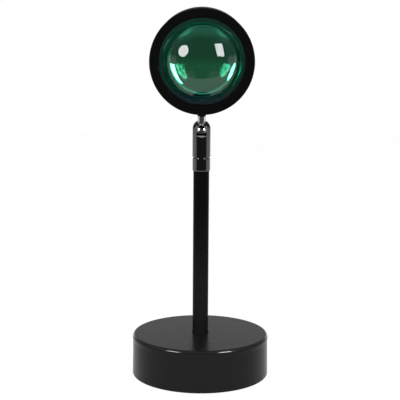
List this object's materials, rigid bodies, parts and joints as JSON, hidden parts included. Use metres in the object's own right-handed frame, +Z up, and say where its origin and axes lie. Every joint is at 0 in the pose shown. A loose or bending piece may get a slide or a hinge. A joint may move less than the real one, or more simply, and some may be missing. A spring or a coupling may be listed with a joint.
{
  "type": "sunset projection lamp",
  "caption": "Desk projection lamp: weighted round base, slim pole, slotted ball swivel and a round head with a thick domed green-coated lens.",
  "frame": {"origin": "centre of the base's underside, on the table", "axes": "+Z up along the pole, -Y the way the lens looks, which is 6 degrees down from the level, +X to the right of a viewer who faces the lens"},
  "size_m": [0.0964, 0.0977, 0.2575],
  "materials": {
    "base_shell": "satin black paint on drawn steel",
    "base_weight": "raw casting",
    "base_plate": "matte black paint on steel sheet",
    "foot_pad": "fine-celled foam",
    "plate_screws": "zinc plated",
    "cord_grommet": "matte",
    "pole_foot_ring": "satin black",
    "pole_tube": "semi-gloss black paint on steel tube",
    "lower_nipple": "zinc plated",
    "pole_washer": "zinc plated",
    "pole_nut": "zinc plated",
    "upper_nipple": "zinc plated",
    "swivel_coupling": "polished black chrome",
    "snap_ring": "spring steel",
    "swivel_socket": "polished black chrome",
    "ball_seat": "natural nylon",
    "spring_washers": "spring steel",
    "ball_stud": "bright chrome",
    "head_barrel": "matte black paint on turned aluminium",
    "front_bezel": "matte black paint on turned aluminium",
    "lens": "polished glass with a green reflecting colour coating on its flat side",
    "lens_gasket": "matte",
    "light_cone": "matte black",
    "condenser_lens": "clear, polished",
    "condenser_holder": "matte black",
    "led_board": "white solder mask on aluminium",
    "led_emitter": "silicone dome over yellow phosphor",
    "board_screws": "zinc plated",
    "heat_sink": "black anodised",
    "rear_cover": "matte black paint on turned aluminium",
    "cover_screws": "black oxide",
    "stud_washer": "zinc plated",
    "stud_nut": "plain brass"
  },
  "bodies": {
    "stand": {"base_shell": "base_shell", "base_weight": "base_weight", "base_plate": "base_plate", "foot_pad": "foot_pad", "plate_screws": "plate_screws", "cord_grommet": "cord_grommet", "pole_foot_ring": "pole_foot_ring", "pole_tube": "pole_tube", "lower_nipple": "lower_nipple", "pole_washer": "pole_washer", "pole_nut": "pole_nut", "upper_nipple": "upper_nipple", "swivel_coupling": "swivel_coupling", "snap_ring": "snap_ring"},
    "socket": {"swivel_socket": "swivel_socket", "ball_seat": "ball_seat", "spring_washers": "spring_washers"},
    "ball": {"ball_stud": "ball_stud"},
    "head": {"head_barrel": "head_barrel", "front_bezel": "front_bezel", "lens": "lens", "lens_gasket": "lens_gasket", "light_cone": "light_cone", "condenser_lens": "condenser_lens", "condenser_holder": "condenser_holder", "led_board": "led_board", "led_emitter": "led_emitter", "board_screws": "board_screws", "heat_sink": "heat_sink", "rear_cover": "rear_cover", "cover_screws": "cover_screws", "stud_washer": "stud_washer", "stud_nut": "stud_nut"}
  },
  "joints": [
    {"name": "socket_pan", "type": "hinge", "parent": "stand", "child": "socket", "pos_m": [0, 0, 0.1543], "axis": [0, 0, 1], "range_deg": [-175, 175]},
    {"name": "head_tilt", "type": "hinge", "parent": "socket", "child": "ball", "pos_m": [0, 0, 0.1729], "axis": [1, 0, 0], "range_deg": [-9, 84]},
    {"name": "head_spin", "type": "hinge", "parent": "ball", "child": "head", "pos_m": [0, -0.00109, 0.18324], "axis": [0, -0.1045, 0.9945], "range_deg": [-175, 175]}
  ]
}
